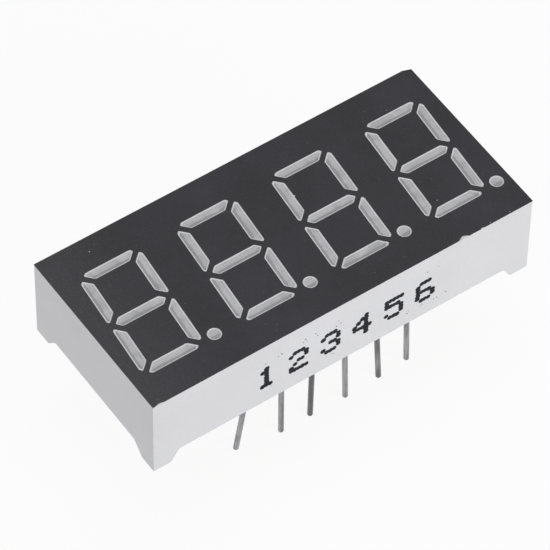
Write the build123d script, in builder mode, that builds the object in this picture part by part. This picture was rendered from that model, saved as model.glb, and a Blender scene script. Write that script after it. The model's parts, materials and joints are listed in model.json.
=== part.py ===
from build123d import *
import math
import os

# Four-digit seven-segment LED display of the reflector type, with twelve wire leads.
# Millimetres. +Z points out of the viewing face, X runs along the digits and +Y up them.
# The lead tips stand on z = 0, and the housing is centred on x = 0 and y = 0.

# Housing
body_length = 30.2
body_width = 14.0
body_height = 6.05          # from the walls' lower edge to the viewing face
wall = 0.85
pocket_corner = 1.2         # inside corner radius of the pocket at the back
foot_height = 1.0
foot_reach = 1.4            # along both sides from the corner, at the sole
foot_flare_x = 0.65         # how much further the foot's root reaches along the long sides
foot_flare_y = 0.9          # and along the short sides
worn_corner_x = 0.6         # the back right corner of the face is rubbed away
worn_corner_y = 0.22
worn_corner_z = 1.1

# Printed face
print_thickness = 0.04
reflector_rim = 0.05        # white edge left showing around each window
edge_chips = (              # x of the middle, length and depth of each chip in the front edge
    (9.5, 0.85, 0.23),
    (11.0, 0.35, 0.08),
    (-14.55, 0.75, 0.09),
)
pinholes = (                # x, y and diameter of each speck missing from the print
    (11.7, -6.86, 0.1),
    (13.3, -6.86, 0.1),
    (9.9, -3.4, 0.1),
    (-11.5, 5.86, 0.12),
    (11.6, 4.8, 0.09),
    (2.27, 2.2, 0.16),
)

# Digits
digit_count = 4
digit_pitch = 7.54
digits_shift = (-0.09, -0.08)   # middle of the row of digits, off the housing's middle
digit_height = 9.22
digit_width = 4.82          # across the upright bars, square to the slant
slant = 5.0                 # degrees
bar_width = 0.8
mitre_gap = 0.38
corner_nose = 0.4           # blunt end of a bar at a digit's corner, along its outer edge
waist_nose = 0.3            # and at a digit's waist
waist_reach = 2.24          # from the digit's middle to where the waist's mitres cross
point_diameter = 1.0
point_place = (2.89, -4.22)  # decimal point, from its digit's middle

# Light wells, which narrow from the windows down to the circuit board
well_base_length = 2.0
well_base_width = 0.6

# Circuit board and its copper
board_thickness = 1.0
board_clearance = 0.05
board_hole = 0.6
copper_thickness = 0.035
lead_pad = 1.3
via_pad = 0.7
via_offset = 1.35           # from a lead towards the middle of the board
track_width = 0.3
chip_pad = 0.36
wire_pad = 0.2

# LED chips and bond wires
chip_size = 0.26
chip_height = 0.2
chip_offset = 0.2           # from the middle of a well, along its bar
wire_offset = 0.28
bond_wire_diameter = 0.03

# Leads
lead_diameter = 0.4
lead_pitch = 2.54
row_spacing = 10.16
leads_per_row = 6
lead_shift = 0.12           # the lead grid stands this far right of the housing's middle
lead_drop = 6.7             # from the feet's soles to the tips
tip_round = 0.15
cut_tip_round = 0.05        # the first lead was cut off square
coined_width = 0.46         # the wire is flattened where it passes the board and the fill
coined_thickness = 0.27
front_row_lean = (          # degrees towards +X and towards +Y, with the first lead bent
    (-4.6, 4.1),
    (0.9, 0.4),
    (-0.1, 0.6),
    (2.1, 0.0),
    (4.1, 0.7),
    (3.4, 1.8),
)

# Solder and back fill
solder_base = 1.1
solder_tip = 0.58
solder_height = 0.65
fill_depth = 1.1
fill_recess = 0.35          # below the walls' lower edge

# Levels
sole_z = lead_drop
wall_z = sole_z + foot_height
fill_z = wall_z + fill_recess
board_z = fill_z + fill_depth
board_top = board_z + board_thickness
face_z = wall_z + body_height
moulding_z = face_z - print_thickness

pocket_length = body_length - 2 * wall
pocket_width = body_width - 2 * wall
digit_places = [
    (digits_shift[0] + (i - (digit_count - 1) / 2) * digit_pitch, digits_shift[1])
    for i in range(digit_count)
]
lead_x = [lead_shift + (i - (leads_per_row - 1) / 2) * lead_pitch for i in range(leads_per_row)]
front_leads = [(x, -row_spacing / 2, lean) for x, lean in zip(lead_x, front_row_lean)]
back_leads = [(x, row_spacing / 2, (0, 0)) for x in reversed(lead_x)]
leads = front_leads + back_leads


# Outlines of the bars in an upright digit centred on (0, 0). Inset draws every edge inwards.
def flat_bar(inset):
    half_width = digit_width / 2 - inset
    half_height = digit_height / 2 - inset
    bar = bar_width - 2 * inset
    tip = half_width - (mitre_gap / 2 + inset) * math.sqrt(2)
    nose = corner_nose / 2
    right = [
        (tip - corner_nose, half_height),
        (tip - nose, half_height - nose),
        (tip - bar, half_height - bar),
    ]
    return right + [(-x, y) for x, y in reversed(right)]


def upright_bar(inset):
    half_width = digit_width / 2 - inset
    bar = bar_width - 2 * inset
    setback = (mitre_gap / 2 + inset) * math.sqrt(2)
    top = digit_height / 2 - inset - setback
    bottom = waist_reach + setback - half_width
    return [
        (half_width - bar, top - bar),
        (half_width - corner_nose / 2, top - corner_nose / 2),
        (half_width, top - corner_nose),
        (half_width, bottom + waist_nose),
        (half_width - waist_nose / 2, bottom + waist_nose / 2),
        (half_width - bar, bottom + bar),
    ]


def middle_bar(inset):
    half_bar = bar_width / 2 - inset
    tip = waist_reach - (mitre_gap / 2 + inset) * math.sqrt(2)
    right = [(tip - half_bar, half_bar), (tip, 0), (tip - half_bar, -half_bar)]
    return right + [(-x, y) for x, y in reversed(right)]


def bar_outline(letter, inset):
    if letter == "g":
        return middle_bar(inset)
    points = flat_bar(inset) if letter in "ad" else upright_bar(inset)
    across = -1 if letter in "ef" else 1
    up = -1 if letter in "cde" else 1
    return [(across * x, up * y) for x, y in points]


def middle_of(points):
    xs, ys = zip(*points)
    return (min(xs) + max(xs)) / 2, (min(ys) + max(ys)) / 2


def resized(points, size_x, size_y):
    xs, ys = zip(*points)
    middle_x, middle_y = middle_of(points)
    scale_x = size_x / (max(xs) - min(xs))
    scale_y = size_y / (max(ys) - min(ys))
    return [
        (middle_x + (x - middle_x) * scale_x, middle_y + (y - middle_y) * scale_y)
        for x, y in points
    ]


def on_face(points, digit_place):
    lean = math.tan(math.radians(slant))
    return [(digit_place[0] + x + y * lean, digit_place[1] + y) for x, y in points]


def point_middle(digit_place):
    return digit_place[0] + point_place[0], digit_place[1] + point_place[1]


# The solid that fills a bar's well, and where the LED chip sits at its foot
def bar_well(letter, digit_place):
    window = bar_outline(letter, reflector_rim)
    if letter in "adg":
        base = resized(window, well_base_length, well_base_width)
    else:
        base = resized(window, well_base_width, well_base_length)
    with BuildPart() as well:
        for points, level in ((base, board_top), (window, moulding_z)):
            with BuildSketch(Plane.XY.offset(level)):
                with BuildLine():
                    Polyline(*on_face(points, digit_place), close=True)
                make_face()
        loft(ruled=True)
    return well.part


def point_well(digit_place):
    with BuildPart() as well:
        with BuildSketch(Plane.XY.offset(board_top)):
            with Locations(point_middle(digit_place)):
                Circle(point_diameter / 2 - reflector_rim)
        extrude(amount=moulding_z - board_top)
    return well.part


def chip_location(letter, digit_place):
    if letter == "point":
        return Location((*point_middle(digit_place), board_top))
    middle = middle_of(bar_outline(letter, reflector_rim))
    place = on_face([middle], digit_place)[0]
    turn = 0 if letter in "adg" else 90 - slant
    return Location((*place, board_top), (0, 0, turn))


lights = ["a", "b", "c", "d", "e", "f", "g", "point"]
wells = {}
chip_locations = {}
for digit, place in enumerate(digit_places, start=1):
    for letter in lights:
        wells[digit, letter] = point_well(place) if letter == "point" else bar_well(letter, place)
        chip_locations[digit, letter] = chip_location(letter, place)


# One LED chip, its two pads and its bond wire, about the middle of a well's foot
with BuildPart() as chip:
    with Locations((-chip_offset, 0, copper_thickness)):
        Box(chip_size, chip_size, chip_height, align=(Align.CENTER, Align.CENTER, Align.MIN))

with BuildPart() as chip_pads:
    with BuildSketch():
        with Locations((-chip_offset, 0)):
            Rectangle(chip_pad, chip_pad)
        with Locations((wire_offset, 0)):
            Rectangle(wire_pad, wire_pad)
    extrude(amount=copper_thickness)

with BuildPart() as bond_wire:
    chip_top = copper_thickness + chip_height
    span = chip_offset + wire_offset
    with BuildLine(Plane.XZ) as wire_path:
        ThreePointArc(
            (-chip_offset, chip_top),
            (-chip_offset + span / 2, chip_top + span / 2),
            (wire_offset, chip_top),
        )
        Line((wire_offset, chip_top), (wire_offset, copper_thickness))
    with BuildSketch(Plane((-chip_offset, 0, chip_top))):
        Circle(bond_wire_diameter / 2)
    sweep(path=wire_path.line)

with BuildPart() as chip_set:
    add(chip.part)
    add(chip_pads.part)
    add(bond_wire.part)


# Moulded reflector: walls, feet, back pocket and the wells under the windows
def cut_worn_corner():
    corner = Vector(body_length / 2, body_width / 2, face_z)
    along = corner - Vector(worn_corner_x, 0, 0)
    across = corner - Vector(0, worn_corner_y, 0)
    down = corner - Vector(0, 0, worn_corner_z)
    outwards = (across - along).cross(down - along)
    if outwards.dot(corner - along) < 0:
        outwards = -outwards
    split(bisect_by=Plane(origin=along, z_dir=outwards), keep=Keep.BOTTOM)


def foot_sections(side_x, side_y):
    root = (foot_reach + foot_flare_x, foot_reach + foot_flare_y)
    for level, (size_x, size_y) in ((sole_z, (foot_reach, foot_reach)), (wall_z, root)):
        middle = (side_x * (body_length - size_x) / 2, side_y * (body_width - size_y) / 2)
        yield level, middle, size_x, size_y


with BuildPart() as housing:
    with BuildSketch(Plane.XY.offset(wall_z)):
        Rectangle(body_length, body_width)
    extrude(amount=moulding_z - wall_z)
    for side_x, side_y in ((-1, -1), (1, -1), (1, 1), (-1, 1)):
        for level, middle, size_x, size_y in foot_sections(side_x, side_y):
            with BuildSketch(Plane.XY.offset(level)):
                with Locations(middle):
                    Rectangle(size_x, size_y)
        loft()
    with BuildSketch(Plane.XY.offset(sole_z)):
        RectangleRounded(pocket_length, pocket_width, pocket_corner)
    extrude(amount=board_top - sole_z, mode=Mode.SUBTRACT)
    add(list(wells.values()), mode=Mode.SUBTRACT)
    cut_worn_corner()


# Black print over the whole face, open at the windows and broken where it has chipped
def chip_outline(middle, length, depth):
    edge = -body_width / 2
    return [
        (middle - length / 2, edge),
        (middle - length * 0.25, edge + depth * 0.6),
        (middle, edge + depth),
        (middle + length * 0.3, edge + depth * 0.55),
        (middle + length / 2, edge),
    ]


with BuildPart() as face_print:
    with BuildSketch(Plane.XY.offset(moulding_z)):
        Rectangle(body_length, body_width)
        for place in digit_places:
            for letter in "abcdefg":
                with BuildLine():
                    Polyline(*on_face(bar_outline(letter, 0), place), close=True)
                make_face(mode=Mode.SUBTRACT)
            with Locations(point_middle(place)):
                Circle(point_diameter / 2, mode=Mode.SUBTRACT)
        for middle, length, depth in edge_chips:
            with BuildLine():
                Polyline(*chip_outline(middle, length, depth), close=True)
            make_face(mode=Mode.SUBTRACT)
        for x, y, diameter in pinholes:
            with Locations((x, y)):
                Circle(diameter / 2, mode=Mode.SUBTRACT)
    extrude(amount=print_thickness)
    cut_worn_corner()


# Circuit board and the copper on its two sides
with BuildPart() as circuit_board:
    with BuildSketch(Plane.XY.offset(board_z)):
        RectangleRounded(
            pocket_length - 2 * board_clearance,
            pocket_width - 2 * board_clearance,
            pocket_corner - board_clearance,
        )
        with Locations(*[(x, y) for x, y, lean in leads]):
            Circle(board_hole / 2, mode=Mode.SUBTRACT)
    extrude(amount=board_thickness)

with BuildPart() as upper_copper:
    with Locations(*chip_locations.values()):
        add(chip_pads.part)

with BuildPart() as lower_copper:
    with BuildSketch(Plane.XY.offset(board_z - copper_thickness)):
        for x, y, lean in leads:
            inwards = -math.copysign(via_offset, y)
            with Locations((x, y)):
                Circle(lead_pad / 2)
            with Locations((x, y + inwards / 2)):
                Rectangle(track_width, via_offset)
            with Locations((x, y + inwards)):
                Circle(via_pad / 2)
            with Locations((x, y)):
                Circle(board_hole / 2, mode=Mode.SUBTRACT)
    extrude(amount=copper_thickness)


# A round wire, coined flat through the board and the fill, that leaves the fill at its own lean
def wire_lead(x, y, lean, rounding):
    across, inwards = (math.sin(math.radians(angle)) for angle in lean)
    downwards = math.sqrt(1 - across**2 - inwards**2)
    way_out = Plane(origin=(x, y, fill_z), z_dir=(across, inwards, -downwards))
    with BuildPart() as lead:
        with BuildSketch(way_out.offset(-lead_diameter)):
            Circle(lead_diameter / 2)
        extrude(amount=lead_diameter + fill_z)
        fillet(lead.edges().group_by(Axis.Z)[0], rounding)
        split(bisect_by=Plane.XY.offset(fill_z), keep=Keep.BOTTOM)
        with BuildSketch(Plane.XY.offset(fill_z)):
            with Locations((x, y)):
                Rectangle(coined_width, coined_thickness)
        extrude(amount=board_top - fill_z)
    return lead.part


wire_leads = [wire_lead(*leads[0], cut_tip_round)]
wire_leads += [wire_lead(*lead, tip_round) for lead in leads[1:]]

with BuildPart() as solder_joints:
    with Locations(*[(x, y, board_z - copper_thickness) for x, y, lean in leads]):
        Cone(
            bottom_radius=solder_tip / 2,
            top_radius=solder_base / 2,
            height=solder_height,
            align=(Align.CENTER, Align.CENTER, Align.MAX),
        )
        Cylinder(
            radius=board_hole / 2,
            height=copper_thickness + board_thickness,
            align=(Align.CENTER, Align.CENTER, Align.MIN),
        )
    add(wire_leads, mode=Mode.SUBTRACT)


# Epoxy that seals the back, cast around the leads, their joints and the copper
with BuildPart() as back_fill:
    with BuildSketch(Plane.XY.offset(fill_z)):
        RectangleRounded(pocket_length, pocket_width, pocket_corner)
    extrude(amount=fill_depth)
    add(lower_copper.part, mode=Mode.SUBTRACT)
    add(solder_joints.part, mode=Mode.SUBTRACT)
    add(wire_leads, mode=Mode.SUBTRACT)


# Diffusing epoxy cast in each well, around its chip, pads and bond wire
def light_pipe(well, chip_location):
    with BuildPart() as pipe:
        add(well)
        with Locations(chip_location):
            add(chip_set.part, mode=Mode.SUBTRACT)
    return pipe.part


def digit_chips(digit):
    with BuildPart() as chips:
        with Locations(*[chip_locations[digit, letter] for letter in lights]):
            add(chip.part)
    return chips.part


def digit_bond_wires(digit):
    with BuildPart() as wires:
        with Locations(*[chip_locations[digit, letter] for letter in lights]):
            add(bond_wire.part)
    return wires.part


pieces = {
    "reflector_housing": housing.part,
    "face_print": face_print.part,
    "circuit_board": circuit_board.part,
    "upper_copper": upper_copper.part,
    "lower_copper": lower_copper.part,
    "solder_joints": solder_joints.part,
    "back_fill": back_fill.part,
}
for number, lead in enumerate(wire_leads, start=1):
    pieces[f"lead_{number:02d}"] = lead
for digit in range(1, digit_count + 1):
    pieces[f"digit_{digit}_led_chips"] = digit_chips(digit)
    pieces[f"digit_{digit}_bond_wires"] = digit_bond_wires(digit)
    for letter in lights:
        name = f"digit_{digit}_segment_{letter}" if letter != "point" else f"digit_{digit}_point"
        pieces[name] = light_pipe(wells[digit, letter], chip_locations[digit, letter])

os.makedirs("parts", exist_ok=True)
for name, piece in pieces.items():
    piece.label = name
    export_step(piece, f"parts/{name}.step")
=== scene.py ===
import json
import math
import random

import bmesh
import bpy
from mathutils import Matrix, Quaternion, Vector


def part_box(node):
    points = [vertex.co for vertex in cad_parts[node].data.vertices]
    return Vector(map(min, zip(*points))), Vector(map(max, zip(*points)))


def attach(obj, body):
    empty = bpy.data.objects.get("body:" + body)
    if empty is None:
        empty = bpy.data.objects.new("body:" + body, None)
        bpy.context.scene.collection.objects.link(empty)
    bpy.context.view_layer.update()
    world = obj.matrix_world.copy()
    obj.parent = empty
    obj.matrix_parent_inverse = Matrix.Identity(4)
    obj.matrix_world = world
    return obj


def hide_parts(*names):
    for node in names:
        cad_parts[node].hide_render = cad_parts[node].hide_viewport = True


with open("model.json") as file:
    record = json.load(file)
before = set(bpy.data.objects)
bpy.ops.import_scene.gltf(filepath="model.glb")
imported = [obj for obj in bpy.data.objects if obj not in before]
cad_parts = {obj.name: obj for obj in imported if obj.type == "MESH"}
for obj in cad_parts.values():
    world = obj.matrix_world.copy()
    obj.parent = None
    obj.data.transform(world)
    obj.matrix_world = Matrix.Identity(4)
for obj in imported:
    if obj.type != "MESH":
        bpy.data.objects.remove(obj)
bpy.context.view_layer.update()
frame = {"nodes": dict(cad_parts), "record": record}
bpy.ops.object.select_all(action="DESELECT")
random.seed(36)

mm = 0.001
samePoint = 0.0002 * mm
hair = 0.001 * mm   # what counts as touching
near = 0.01 * mm    # what counts as level
squarely = 0.99     # the least share of its normal that a picked face has along an axis
caseLow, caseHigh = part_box("reflector_housing")
printLow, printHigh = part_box("face_print")
fillLow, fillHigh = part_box("back_fill")
caseMiddle = (caseLow + caseHigh) / 2
slotOf = {part["node"]: part["material_slot"] for part in frame["record"]["subparts"]}
lights = [node for node, slot in slotOf.items() if slot == "diffusing_epoxy"]
leads = sorted(node for node, slot in slotOf.items() if slot == "tinned_wire")
print("frame loaded:", len(frame["nodes"]), "CAD nodes")


class Wire:
    # one output socket, which takes part in sums
    def __init__(self, bench, socket):
        self.bench = bench
        self.socket = socket

    def sum(self, operation, first, second):
        return self.bench.node("ShaderNodeMath", {"operation": operation}, {0: first, 1: second})

    def __add__(self, other):
        return self.sum("ADD", self, other)

    def __radd__(self, other):
        return self.sum("ADD", other, self)

    def __sub__(self, other):
        return self.sum("SUBTRACT", self, other)

    def __rsub__(self, other):
        return self.sum("SUBTRACT", other, self)

    def __mul__(self, other):
        return self.sum("MULTIPLY", self, other)

    def __rmul__(self, other):
        return self.sum("MULTIPLY", other, self)

    def orMore(self, other):
        return self.sum("MAXIMUM", self, other)


class Bench:
    # a node tree under construction
    def __init__(self, tree):
        self.tree = tree
        self.tree.nodes.clear()

    def node(self, kind, settings=None, sockets=None, out=0):
        made = self.tree.nodes.new(kind)
        for name, value in (settings or {}).items():
            setattr(made, name, value)
        for name, value in (sockets or {}).items():
            if isinstance(value, Wire):
                self.tree.links.new(value.socket, made.inputs[name])
            else:
                made.inputs[name].default_value = value
        return Wire(self, made.outputs[out]) if made.outputs else None

    def raysThatSee(self):
        # 1 for the rays that show the background: seen straight, mirrored or through glass
        kinds = ("Is Camera Ray", "Is Glossy Ray", "Is Transmission Ray")
        seen, mirrored, through = (self.node("ShaderNodeLightPath", out=kind) for kind in kinds)
        return seen.orMore(mirrored).orMore(through)


class Finish(Bench):
    # a material; what is the same all over goes straight on its surface shader's sockets
    def __init__(self, name, fixed):
        self.material = bpy.data.materials.new(name)
        self.material.use_nodes = True
        super().__init__(self.material.node_tree)
        self.place = self.node("ShaderNodeTexCoord", out="Object")
        self.fixed = fixed

    def spread(self, scale):
        return self.node("ShaderNodeMapping", {}, {"Vector": self.place, "Scale": scale})

    def noise(self, size, detail=3.0, roughness=0.5, stretch=(1, 1, 1), distortion=0.0):
        # grain of about that size in metres
        return self.node("ShaderNodeTexNoise", {}, {
            "Vector": self.spread([along / size for along in stretch]),
            "Scale": 1.0,
            "Detail": detail,
            "Roughness": roughness,
            "Distortion": distortion,
        })

    def attribute(self, name):
        return self.node("ShaderNodeAttribute", {"attribute_name": name}, out="Fac")

    def ramp(self, value, low, high):
        # 0 below low and 1 above high, smooth between
        return self.node(
            "ShaderNodeMapRange",
            {"interpolation_type": "SMOOTHSTEP"},
            {"Value": value, "From Min": low, "From Max": high},
        )

    def blend(self, share, first, second):
        # a Mix node on colours has its A and B on sockets 6 and 7, and its result on 2
        return self.node(
            "ShaderNodeMix", {"data_type": "RGBA"}, {"Factor": share, 6: first, 7: second}, out=2
        )

    def bump(self, height, depth, strength, under=None):
        sockets = {"Height": height, "Distance": depth, "Strength": strength}
        if under:
            sockets["Normal"] = under
        return self.node("ShaderNodeBump", {}, sockets)

    def surface(self, varied):
        return self.node("ShaderNodeBsdfPrincipled", {}, {**self.fixed, **varied})

    def output(self, shader):
        self.node("ShaderNodeOutputMaterial", {}, {"Surface": shader})
        return self.material

    def coat(self, colour, roughness, skin):
        varied = {"Base Color": colour, "Roughness": roughness, "Normal": skin}
        return self.output(self.surface(varied))


def grey(level, blue=0.0):
    return (level * (1 - blue), level * (1 - blue), level * (1 + blue), 1.0)


# glossy moulded plastic with a faint flow and handling marks
def whitePlastic():
    look = {
        "deep": grey(0.64, 0.02),
        "light": grey(0.72, 0.02),
        "scuff": grey(0.56),
        "scuffShare": 0.5,
        "mottleShare": 0.22,
        "roughness": 0.36,
        "flowDepth": 0.008 * mm,
        "grainDepth": 0.006 * mm,
    }
    finish = Finish("whitePlastic", {"IOR": 1.5, "Specular IOR Level": 0.4})
    cloud = finish.noise(6 * mm, detail=2)
    grain = finish.noise(0.09 * mm, detail=4, roughness=0.6)
    flow = finish.noise(0.9 * mm, detail=3, stretch=(1, 1, 0.35))
    scuffs = finish.ramp(finish.noise(0.35 * mm, detail=5, roughness=0.7), 0.62, 0.78)
    mottle = finish.ramp(finish.noise(0.15 * mm, detail=2, roughness=0.6), 0.4, 0.75)
    colour = finish.blend(cloud, look["deep"], look["light"])
    colour = finish.blend(scuffs * look["scuffShare"], colour, look["scuff"])
    colour = finish.blend(mottle * look["mottleShare"], colour, look["scuff"])
    skin = finish.bump(flow, look["flowDepth"], 0.4)
    skin = finish.bump(grain, look["grainDepth"], 0.6, skin)
    return finish.coat(colour, look["roughness"] + flow * 0.1 + grain * 0.08, skin)


# screen ink, with a painted sheen that makes it greyer towards the left end
def blackInk(name, gloss):
    look = {
        "deep": (0.006, 0.006, 0.010, 1),
        "light": (0.022, 0.0215, 0.028, 1),
        "paintedSheen": (0.058, 0.057, 0.064, 1),
        "dust": grey(0.2),
        "dustShare": 0.5,
        "mottleShare": 0.06,
        "rubbed": 8 * mm,       # how far the painted sheen reaches from the left edge
        "ragged": 2 * mm,       # how unevenly it ends
        "roughness": 0.44,
        "peelDepth": 0.004 * mm,
        "grainDepth": 0.002 * mm,
    }
    finish = Finish(name, {"IOR": 1.45, "Specular IOR Level": gloss})
    cloud = finish.ramp(finish.noise(7 * mm, detail=5, roughness=0.6), 0.28, 0.72)
    peel = finish.noise(0.22 * mm, detail=2)
    grain = finish.noise(0.06 * mm, detail=3, roughness=0.65)
    mottle = finish.ramp(finish.noise(0.14 * mm, detail=3, roughness=0.7), 0.45, 0.8)
    dust = finish.ramp(finish.noise(0.16 * mm, detail=1), 0.765, 0.80)
    fromLeft = finish.node("ShaderNodeSeparateXYZ", {}, {"Vector": finish.place}, out="X")
    fromLeft = fromLeft + cloud * look["ragged"]
    # painted sheen: the ink is drawn lighter towards the left end, standing in for light glancing
    # off it
    paintedSheen = 1 - finish.ramp(fromLeft, printLow.x, printLow.x + look["rubbed"])
    colour = finish.blend(cloud, look["deep"], look["light"])
    colour = finish.blend(mottle * look["mottleShare"], colour, look["dust"])
    colour = finish.blend(paintedSheen * (0.35 + mottle * 0.4), colour, look["paintedSheen"])
    colour = finish.blend(dust * look["dustShare"], colour, look["dust"])
    skin = finish.bump(peel, look["peelDepth"], 0.3)
    skin = finish.bump(grain, look["grainDepth"], 0.35, skin)
    return finish.coat(colour, look["roughness"] + peel * 0.12 + cloud * 0.08, skin)


# milky resin, streaked along each bar, with painted shading that makes one side of each bar
# lighter and a painted highlight along its rim
def diffusingEpoxy():
    look = {
        "deep": grey(0.29, 0.02),
        "light": grey(0.53, 0.02),
        "filler": grey(0.56),
        "fillerShare": 0.45,
        "rimHighlight": grey(0.78, 0.01),
        "streaks": 3.0,         # over half a bar's width
        "wavy": 1.6,
        "roughness": 0.3,
        "streakDepth": 0.006 * mm,
        "fillerDepth": 0.0015 * mm,
    }
    finish = Finish("diffusingEpoxy", {"IOR": 1.53, "Specular IOR Level": 0.45})
    cloud = finish.noise(1.1 * mm, detail=3, distortion=0.6)
    filler = finish.noise(0.07 * mm, detail=3, roughness=0.7)
    across = finish.attribute("across")
    streak = finish.node(
        "ShaderNodeTexNoise",
        {"noise_dimensions": "1D"},
        {"W": across * look["streaks"] + cloud * look["wavy"], "Scale": 1.0, "Detail": 2.0},
    )
    # the across term is painted shading: it draws each bar lighter towards one side, while cloud
    # and streaks are the resin's own tone
    depth = finish.ramp(across * 0.12 + cloud * 0.4 + streak * 0.6, 0.36, 0.64)
    # painted highlight: the outline of each bar is drawn much paler, for the light its edge
    # catches
    rimHighlight = finish.ramp(finish.attribute("rimHighlight") + cloud * 0.2, 0.15, 0.85)
    colour = finish.blend(depth, look["deep"], look["light"])
    grains = finish.ramp(filler, 0.5, 0.8)
    colour = finish.blend(grains * look["fillerShare"], colour, look["filler"])
    colour = finish.blend(rimHighlight, colour, look["rimHighlight"])
    skin = finish.bump(streak, look["streakDepth"], 0.3)
    skin = finish.bump(filler, look["fillerDepth"], 0.4, skin)
    return finish.coat(colour, look["roughness"] + streak * 0.14, skin)


# cast resin with small round bubbles under its skin
def backEpoxy():
    look = {
        "deep": (0.58, 0.56, 0.48, 1),
        "light": (0.70, 0.68, 0.61, 1),
        "bubble": (0.82, 0.80, 0.74, 1),
        "bubbleShare": 0.5,
        "bubblesApart": 0.9 * mm,
        "bubbleDepth": 0.01 * mm,
        "rippleDepth": 0.05 * mm,
        "roughness": 0.14,
    }
    finish = Finish("backEpoxy", {"IOR": 1.53, "Specular IOR Level": 0.5})
    cloud = finish.noise(3.5 * mm, detail=4, distortion=0.5)
    ripple = finish.noise(2.2 * mm, detail=1)
    spread = finish.spread([1 / look["bubblesApart"]] * 3)
    toCentre = finish.node(
        "ShaderNodeTexVoronoi", {}, {"Vector": spread, "Scale": 1.0}, out="Distance"
    )
    bubbles = 1 - finish.ramp(toCentre, 0.05, 0.12)
    colour = finish.blend(cloud, look["deep"], look["light"])
    colour = finish.blend(bubbles * look["bubbleShare"], colour, look["bubble"])
    skin = finish.bump(ripple, look["rippleDepth"], 0.5)
    skin = finish.bump(bubbles, look["bubbleDepth"], 0.4, skin)
    return finish.coat(colour, look["roughness"] + cloud * 0.12, skin)


# glass cloth in resin: the circuit board
def laminate():
    look = {
        "warp": (0.48, 0.44, 0.24, 1),
        "weft": (0.62, 0.58, 0.36, 1),
        "thread": 0.3 * mm,
        "weaveDepth": 0.01 * mm,
        "roughness": 0.4,
    }
    finish = Finish("laminate", {"IOR": 1.5, "Specular IOR Level": 0.45})
    warp = finish.noise(look["thread"], detail=2, stretch=(1, 0.12, 1))
    weft = finish.noise(look["thread"], detail=2, stretch=(0.12, 1, 1))
    weave = (warp + weft) * 0.5
    colour = finish.blend(weave, look["warp"], look["weft"])
    skin = finish.bump(weave, look["weaveDepth"], 0.4)
    return finish.coat(colour, look["roughness"] + weave * 0.15, skin)


# copper, solder and gold differ in colour, grain and roughness
def plainMetal(name, deep, light, grain, roughness):
    look = {"cloudOverGrain": 7, "grainDepth": 0.004 * mm}
    finish = Finish(name, {"Metallic": 1.0})
    cloud = finish.noise(grain * look["cloudOverGrain"], detail=3)
    fine = finish.noise(grain, detail=3, roughness=0.6)
    colour = finish.blend(cloud, deep, light)
    skin = finish.bump(fine, look["grainDepth"], 0.4)
    return finish.coat(colour, roughness + fine * 0.12 + cloud * 0.1, skin)


# drawn wire, tinned, with lines along it, darker patches, and some leads darker all over
def tinnedWire():
    look = {
        "deep": grey(0.19, 0.02),
        "light": grey(0.36, 0.02),
        "darkPatches": grey(0.08, 0.03),
        "darkPatchShare": 0.8,
        "lineDepth": 0.004 * mm,
        "roughness": 0.2,
    }
    finish = Finish("tinnedWire", {"Metallic": 1.0})
    drawn = finish.noise(0.16 * mm, detail=2, stretch=(1, 1, 0.012))
    blotch = finish.noise(0.5 * mm, detail=4, roughness=0.6)
    patches = finish.noise(0.5 * mm, detail=3, stretch=(1, 1, 0.25))
    darkPatches = finish.ramp(patches + finish.attribute("leadDarkening"), 0.5, 1.1)
    lines = finish.ramp(drawn * 0.7 + blotch * 0.3, 0.36, 0.6)
    colour = finish.blend(lines, look["deep"], look["light"])
    colour = finish.blend(darkPatches * look["darkPatchShare"], colour, look["darkPatches"])
    skin = finish.bump(drawn, look["lineDepth"], 0.45)
    return finish.coat(colour, look["roughness"] + drawn * 0.14 + blotch * 0.1, skin)


# a sawn crystal
def ledChip():
    look = {
        "deep": (0.22, 0.05, 0.04, 1),
        "light": (0.42, 0.13, 0.10, 1),
        "sawDepth": 0.001 * mm,
        "roughness": 0.3,
    }
    finish = Finish("ledChip", {"IOR": 1.6, "Specular IOR Level": 0.6})
    saw = finish.noise(0.02 * mm, detail=2, stretch=(1, 1, 0.2))
    colour = finish.blend(saw, look["deep"], look["light"])
    skin = finish.bump(saw, look["sawDepth"], 0.4)
    return finish.coat(colour, look["roughness"] + saw * 0.2, skin)


inkGloss = {"face": 0.38, "numbers": 0.1}
finishes = {
    "white_plastic": whitePlastic(),
    "black_ink": blackInk("blackInk", inkGloss["face"]),
    "diffusing_epoxy": diffusingEpoxy(),
    "back_epoxy": backEpoxy(),
    "laminate": laminate(),
    "tinned_wire": tinnedWire(),
    "led_chip": ledChip(),
    "solder": plainMetal("solder", grey(0.5), grey(0.7), 0.15 * mm, 0.16),
    "copper": plainMetal(
        "copper", (0.55, 0.26, 0.14, 1), (0.80, 0.44, 0.28, 1), 0.08 * mm, 0.28
    ),
    "gold_wire": plainMetal(
        "goldWire", (0.75, 0.52, 0.2, 1), (0.95, 0.72, 0.34, 1), 0.02 * mm, 0.15
    ),
}
for node, cadObject in frame["nodes"].items():
    cadObject.material_slots[0].material = finishes[slotOf[node]]
print("finishes made:", len(finishes))


def only(*pieces):
    bpy.ops.object.select_all(action="DESELECT")
    for piece in pieces:
        piece.select_set(True)
    bpy.context.view_layer.objects.active = pieces[0]


def newest(name):
    # the primitive just added, with its place put in its mesh
    piece = bpy.context.active_object
    piece.name = name
    only(piece)
    bpy.ops.object.transform_apply(location=True, rotation=True, scale=True)
    return piece


def startEdit(piece, elements="FACE"):
    only(piece)
    bpy.ops.object.mode_set(mode="EDIT")
    bpy.ops.mesh.select_mode(type=elements)
    bpy.ops.mesh.select_all(action="DESELECT")
    return bmesh.from_edit_mesh(piece.data)


def pick(piece, mesh, parts):
    for part in parts:
        part.select_set(True)
    mesh.select_flush_mode()
    bmesh.update_edit_mesh(piece.data)


def endEdit():
    bpy.ops.object.mode_set(mode="OBJECT")
    bpy.ops.object.select_all(action="DESELECT")


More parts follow.
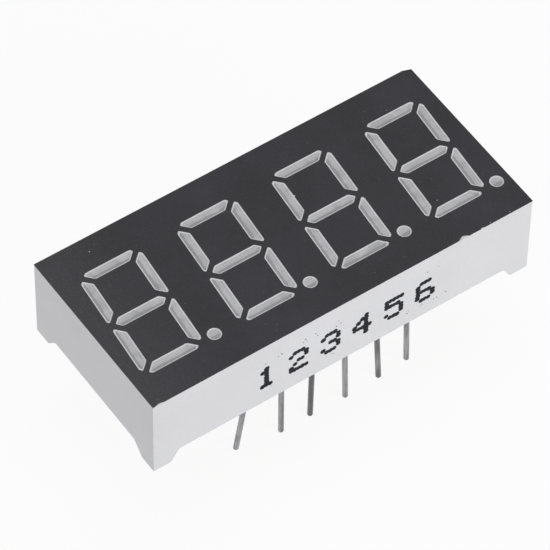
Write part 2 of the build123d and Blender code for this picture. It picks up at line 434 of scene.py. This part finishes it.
def sinkRings(steps):
    # the picked face is inset ring by ring, each one moved along z: widths and moves in mm
    for ring, move in steps:
        bpy.ops.mesh.inset(thickness=ring * mm)
        bpy.ops.transform.translate(value=(0, 0, move * mm))


def copyOfNode(node, name, flatness=0.5):
    # the CAD node's shape, merged, with faces flat to that many degrees made whole
    piece = bpy.data.objects.new(name, frame["nodes"][node].data.copy())
    bpy.context.collection.objects.link(piece)
    only(piece)
    bpy.ops.mesh.customdata_custom_splitnormals_clear()
    startEdit(piece)
    bpy.ops.mesh.select_all(action="SELECT")
    bpy.ops.mesh.remove_doubles(threshold=samePoint)
    bpy.ops.mesh.dissolve_limited(angle_limit=math.radians(flatness))
    endEdit()
    return piece


def copyOf(pattern):
    piece = pattern.copy()
    piece.data = pattern.data.copy()
    bpy.context.collection.objects.link(piece)
    return piece


def joined(pieces, name):
    only(*pieces)
    bpy.ops.object.join()
    pieces[0].name = name
    return pieces[0]


def finished(piece, slot, *nodes, smooth=30):
    only(piece)
    bpy.ops.object.shade_smooth_by_angle(angle=math.radians(smooth))
    piece.data.materials.clear()
    piece.data.materials.append(finishes[slot])
    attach(piece, "root")
    if nodes:
        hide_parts(*nodes)
    bpy.ops.object.select_all(action="DESELECT")
    return piece


# the white case: the CAD shape with its moulded edges rounded
caseEdges = {"round": 0.06 * mm, "steps": 2, "sharp": 25, "wall": 0.3 * mm}


def isOuterEdge(edge):
    # a sharp edge outside or underneath, but not under the print or inside a light well
    if len(edge.link_faces) != 2 or edge.calc_face_angle() < math.radians(caseEdges["sharp"]):
        return False
    middle = (edge.verts[0].co + edge.verts[1].co) / 2
    toSides = [abs(middle[axis] - end[axis]) for axis in range(2) for end in (caseLow, caseHigh)]
    below = middle.z < fillLow.z - near
    return middle.z < caseHigh.z - hair and (below or min(toSides) < caseEdges["wall"])


def makeCase():
    case = copyOfNode("reflector_housing", "whiteCase")
    mesh = startEdit(case, "EDGE")
    pick(case, mesh, [edge for edge in mesh.edges if isOuterEdge(edge)])
    bpy.ops.mesh.bevel(
        offset=caseEdges["round"], segments=caseEdges["steps"], affect="EDGES", clamp_overlap=True
    )
    endEdit()
    finished(case, "white_plastic", "reflector_housing", smooth=35)
    only(case)
    case.modifiers.new("flat", "WEIGHTED_NORMAL").keep_sharp = True   # wide faces shade flat
    bpy.ops.object.modifier_apply(modifier="flat")


makeCase()
print("case made")

# the black print: a thin film whose windows have rounded corners
windowCorner = {"round": 0.09 * mm, "steps": 3, "sharp": 20, "border": 0.6 * mm}


def isWindowCorner(edge):
    # an upright edge where two sides of a window meet
    foot, top = (vert.co for vert in edge.verts)
    upright = abs(foot.x - top.x) + abs(foot.y - top.y) < hair
    toSides = [abs(foot[axis] - end[axis]) for axis in range(2) for end in (printLow, printHigh)]
    return (
        upright
        and min(toSides) > windowCorner["border"]
        and len(edge.link_faces) == 2
        and edge.calc_face_angle() > math.radians(windowCorner["sharp"])
    )


def makeFacePrint():
    film = copyOfNode("face_print", "blackFacePrint")
    mesh = startEdit(film, "EDGE")
    pick(film, mesh, [edge for edge in mesh.edges if isWindowCorner(edge)])
    bpy.ops.mesh.bevel(
        offset=windowCorner["round"], segments=windowCorner["steps"], affect="EDGES"
    )
    bpy.ops.mesh.select_all(action="SELECT")
    bpy.ops.mesh.remove_doubles(threshold=hair)   # where two roundings meet at a nick
    endEdit()
    finished(film, "black_ink", "face_print")


makeFacePrint()
print("face print made")

# the lights: resin shrinks as it sets, so each top is dished inside its window
castShape = {
    "rings": ((0.06, -0.011), (0.04, -0.006), (0.03, -0.003)),
    "slant": math.radians(5),
    "halfWidth": 0.4 * mm,
}


def tellSurface(light, low, high):
    # the rim mask, where a highlight is painted, is 1 along the outline and 0 inside; across runs
    # from -1 to 1 over a bar's width
    middle = (low + high) / 2
    lean = 0 if high.x - low.x > high.y - low.y else math.tan(castShape["slant"])
    rimHighlight = light.data.attributes.new("rimHighlight", "FLOAT", "POINT")
    across = light.data.attributes.new("across", "FLOAT", "POINT")
    for vert in light.data.vertices:
        away = vert.co - middle
        side = away.x - lean * away.y if lean else away.y
        rimHighlight.data[vert.index].value = 1.0 if vert.co.z > high.z - hair else 0.0
        across.data[vert.index].value = side / castShape["halfWidth"]


def makeLight(node):
    light = copyOfNode(node, "cast_" + node)
    low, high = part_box(node)
    mesh = startEdit(light)
    flat = [face for face in mesh.faces if face.normal.z > squarely]
    pick(light, mesh, [face for face in flat if face.calc_center_median().z > high.z - near])
    sinkRings(castShape["rings"])
    endEdit()
    tellSurface(light, low, high)
    finished(light, "diffusing_epoxy", node, smooth=40)


for node in lights:
    makeLight(node)
print("lights made:", len(lights))

# the leads, some of them darker than the rest
darkerLeads = {"lead_03": 0.5, "lead_05": 0.45, "lead_08": 0.4, "lead_11": 0.3}


def makeLead(node):
    lead = copyOfNode(node, "wire_" + node, flatness=0.1)
    leadDarkening = lead.data.attributes.new("leadDarkening", "FLOAT", "POINT")
    for point in leadDarkening.data:
        point.value = darkerLeads.get(node, 0.0)
    finished(lead, "tinned_wire", node, smooth=35)


for node in leads:
    makeLead(node)
print("leads made:", len(leads))

# the resin poured over the back: dished, and drawn up at the walls
fillShape = {
    "corner": 1.2 * mm,
    "cornerSteps": 8,
    "climb": 0.16 * mm,
    "rings": ((0.02, 0.0), (0.10, 0.07), (0.14, 0.05), (0.22, 0.03), (0.4, 0.01)),
}


def makeBackFill():
    middle = (fillLow + fillHigh) / 2
    depth = fillHigh.z - fillLow.z + fillShape["climb"]
    bpy.ops.mesh.primitive_plane_add(size=1, location=(middle.x, middle.y, fillHigh.z))
    bpy.context.active_object.scale = (fillHigh.x - fillLow.x, fillHigh.y - fillLow.y, 1)
    fill = newest("pouredBackFill")
    startEdit(fill, "VERT")
    bpy.ops.mesh.select_all(action="SELECT")
    bpy.ops.mesh.bevel(
        offset=fillShape["corner"], segments=fillShape["cornerSteps"], affect="VERTICES"
    )
    bpy.ops.mesh.select_all(action="SELECT")
    bpy.ops.mesh.extrude_region_move(TRANSFORM_OT_translate={"value": (0, 0, -depth)})
    endEdit()
    mesh = startEdit(fill)
    pick(fill, mesh, [min(mesh.faces, key=lambda face: face.calc_center_median().z)])
    sinkRings(fillShape["rings"])
    bpy.ops.mesh.select_all(action="SELECT")
    bpy.ops.mesh.normals_make_consistent(inside=False)
    endEdit()
    finished(fill, "back_epoxy", "back_fill", smooth=50)


makeBackFill()
print("back fill made")

# a collar of the same resin round each lead, where it wets the wire
collarShape = {
    "radius": 0.47 * mm,
    "sides": 28,
    "sunk": 0.1 * mm,
    "rings": ((0.07, -0.012), (0.07, -0.035), (0.06, -0.07), (0.05, -0.10)),
}


def collarPattern():
    bpy.ops.mesh.primitive_cylinder_add(
        vertices=collarShape["sides"],
        radius=collarShape["radius"],
        depth=2 * collarShape["sunk"],
    )
    collar = newest("collarPattern")
    mesh = startEdit(collar)
    pick(collar, mesh, [face for face in mesh.faces if face.normal.z < -squarely])
    sinkRings(collarShape["rings"])
    endEdit()
    return collar


def rootOf(node):
    # the middle of the lead's upper end, which is straight over where it leaves the resin
    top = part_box(node)[1].z - near
    upper = [vert.co for vert in frame["nodes"][node].data.vertices if vert.co.z > top]
    return sum(upper, Vector()) / len(upper)


def makeCollars():
    pattern = collarPattern()
    collars = []
    for node in leads:
        root = rootOf(node)
        place = (root.x, root.y, fillLow.z + collarShape["sunk"])
        collars.append(copyOf(pattern))
        collars[-1].data.transform(Matrix.Translation(place))
    bpy.data.objects.remove(pattern)
    finished(joined(collars, "resinCollars"), "back_epoxy", smooth=60)


makeCollars()
print("resin collars made")

# lead numbers in ink dots on the front wall, each over its lead, and fine spray beside them
numberStyle = {
    "pitch": 0.30 * mm,
    "dot": 0.43 * mm,
    "sides": 14,
    "proud": 0.008 * mm,
    "edge": 0.4,                # how much of the thickness is rounded off
    "bottom": 2.75 * mm,        # over the foot of the wall
    "wander": 0.02 * mm,
    "sizes": (0.88, 1.06),
    "thicknesses": (0.6, 1.2),
}
spray = {
    "specks": 26,
    "reach": (-7, 8.5),         # along the wall from the middle, mm
    "rows": (-0.5, 2.35, 2.7),  # over the numbers' bottom, mm
    "scatter": (-0.15, 0.15),
    "sizes": (0.12, 0.24),
}
dotRows = {
    "1": ("00100", "01100", "00100", "00100", "00100", "00100", "01110"),
    "2": ("01110", "10001", "00001", "00110", "01000", "10000", "11111"),
    "3": ("01110", "10001", "00001", "00110", "00001", "10001", "01110"),
    "4": ("00010", "00110", "01010", "10010", "11111", "00010", "00010"),
    "5": ("11111", "10000", "11110", "00001", "00001", "10001", "01110"),
    "6": ("01110", "10000", "10000", "11110", "10001", "10001", "01110"),
}


def inkDot():
    bpy.ops.mesh.primitive_cylinder_add(
        vertices=numberStyle["sides"],
        radius=numberStyle["dot"] / 2,
        depth=2 * numberStyle["proud"],
        rotation=(math.pi / 2, 0, 0),
    )
    dot = newest("inkDot")
    mesh = startEdit(dot)
    pick(dot, mesh, [face for face in mesh.faces if face.normal.y < -squarely])
    rounding = numberStyle["edge"] * numberStyle["proud"]
    bpy.ops.mesh.bevel(offset=rounding, segments=1, affect="EDGES")
    endEdit()
    return dot


def placeDot(pattern, x, height, size):
    dot = copyOf(pattern)
    thick = random.uniform(*numberStyle["thicknesses"])   # or overlapping dots would share a face
    place = Matrix.Translation((x, caseLow.y, caseLow.z + height))
    dot.data.transform(place @ Matrix.Diagonal((size, thick, size, 1)))
    return dot


def numberDots(pattern, number, rows):
    # placed by the straight lead behind it, in the row that counts down towards the right
    low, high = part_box(f"lead_{len(leads) + 1 - int(number):02d}")
    pitch = numberStyle["pitch"]
    left = (low.x + high.x) / 2 - 2 * pitch
    for row, marks in enumerate(reversed(rows)):
        for column in (place for place, mark in enumerate(marks) if mark == "1"):
            right = random.uniform(-1, 1) * numberStyle["wander"]
            up = random.uniform(-1, 1) * numberStyle["wander"]
            yield placeDot(
                pattern,
                left + column * pitch + right,
                numberStyle["bottom"] + row * pitch + up,
                random.uniform(*numberStyle["sizes"]),
            )


def strayDots(pattern):
    for speck in range(spray["specks"]):
        x = caseMiddle.x + random.uniform(*spray["reach"]) * mm
        up = random.choice(spray["rows"]) + random.uniform(*spray["scatter"])
        size = random.uniform(*spray["sizes"])
        yield placeDot(pattern, x, numberStyle["bottom"] + up * mm, size)


def makeLeadNumbers():
    pattern = inkDot()
    dots = []
    for number, rows in dotRows.items():
        dots += numberDots(pattern, number, rows)
    dots += strayDots(pattern)
    bpy.data.objects.remove(pattern)
    numbers = finished(joined(dots, "leadNumbers"), "black_ink")
    numbers.data.materials[0] = blackInk("numberInk", inkGloss["numbers"])


makeLeadNumbers()
print("lead numbers made")


# a pale floor, which shows as background but keeps a soft shadow
def makeFloor():
    look = {"size": 3, "paint": grey(0.9), "roughness": 0.9, "glow": 0.9}
    bpy.ops.mesh.primitive_plane_add(size=look["size"], location=(0, 0, 0))
    floor = newest("floor")
    finish = Finish("paleFloor", {"Specular IOR Level": 0.0, "Roughness": look["roughness"]})
    glow = finish.node("ShaderNodeEmission", {}, {"Color": grey(1.0), "Strength": 1.0})
    share = finish.raysThatSee() * look["glow"]
    paint = finish.surface({"Base Color": look["paint"]})
    mixed = finish.node("ShaderNodeMixShader", {}, {0: share, 1: paint, 2: glow})
    floor.data.materials.append(finish.output(mixed))


# a bright room that lights the part more softly than it looks
def makeWorld():
    room = {"light": 0.44, "seen": 1.0}
    world = bpy.data.worlds.new("studio")
    bpy.context.scene.world = world
    world.use_nodes = True
    bench = Bench(world.node_tree)
    strength = room["light"] + bench.raysThatSee() * (room["seen"] - room["light"])
    sky = bench.node("ShaderNodeBackground", {}, {"Color": grey(1.0), "Strength": strength})
    bench.node("ShaderNodeOutputWorld", {}, {"Surface": sky})


lamps = {   # place, side of the square in metres, power in watts
    "frontBox": ((0.09, -0.32, 0.12), 0.25, 0.62),
    "topBox": ((0.05, 0.05, 0.45), 0.30, 0.5),
    "sideBox": ((-0.34, -0.04, 0.10), 0.25, 0.17),
}


def makeLamp(name, place, size, power):
    bpy.ops.object.light_add(type="AREA", location=place)
    lamp = bpy.context.active_object
    lamp.name = name
    lamp.data.shape = "SQUARE"
    lamp.data.size = size
    lamp.data.energy = power
    lamp.rotation_euler = (caseMiddle - Vector(place)).to_track_quat("-Z", "Y").to_euler()


def makeCamera():
    view = {
        "place": Vector((-107.617, -149.333, 246.331)) * mm,
        "aim": Vector((-0.948, -0.311, 10.2)) * mm,
        "roll": math.radians(1.186),
        "lens": 295.57,
        "film": 36,
        "nearest": 10 * mm,
    }
    bpy.ops.object.camera_add(location=view["place"])
    camera = bpy.context.active_object
    camera.data.lens = view["lens"]
    camera.data.sensor_width = view["film"]
    camera.data.clip_start = view["nearest"]
    camera.rotation_mode = "QUATERNION"
    straight = (view["aim"] - view["place"]).to_track_quat("-Z", "Y")
    camera.rotation_quaternion = straight @ Quaternion((0, 0, 1), view["roll"])
    bpy.context.scene.camera = camera


makeFloor()
makeWorld()
for name, settings in lamps.items():
    makeLamp(name, *settings)
makeCamera()
bpy.context.scene.view_settings.view_transform = "Standard"
print("stage set")
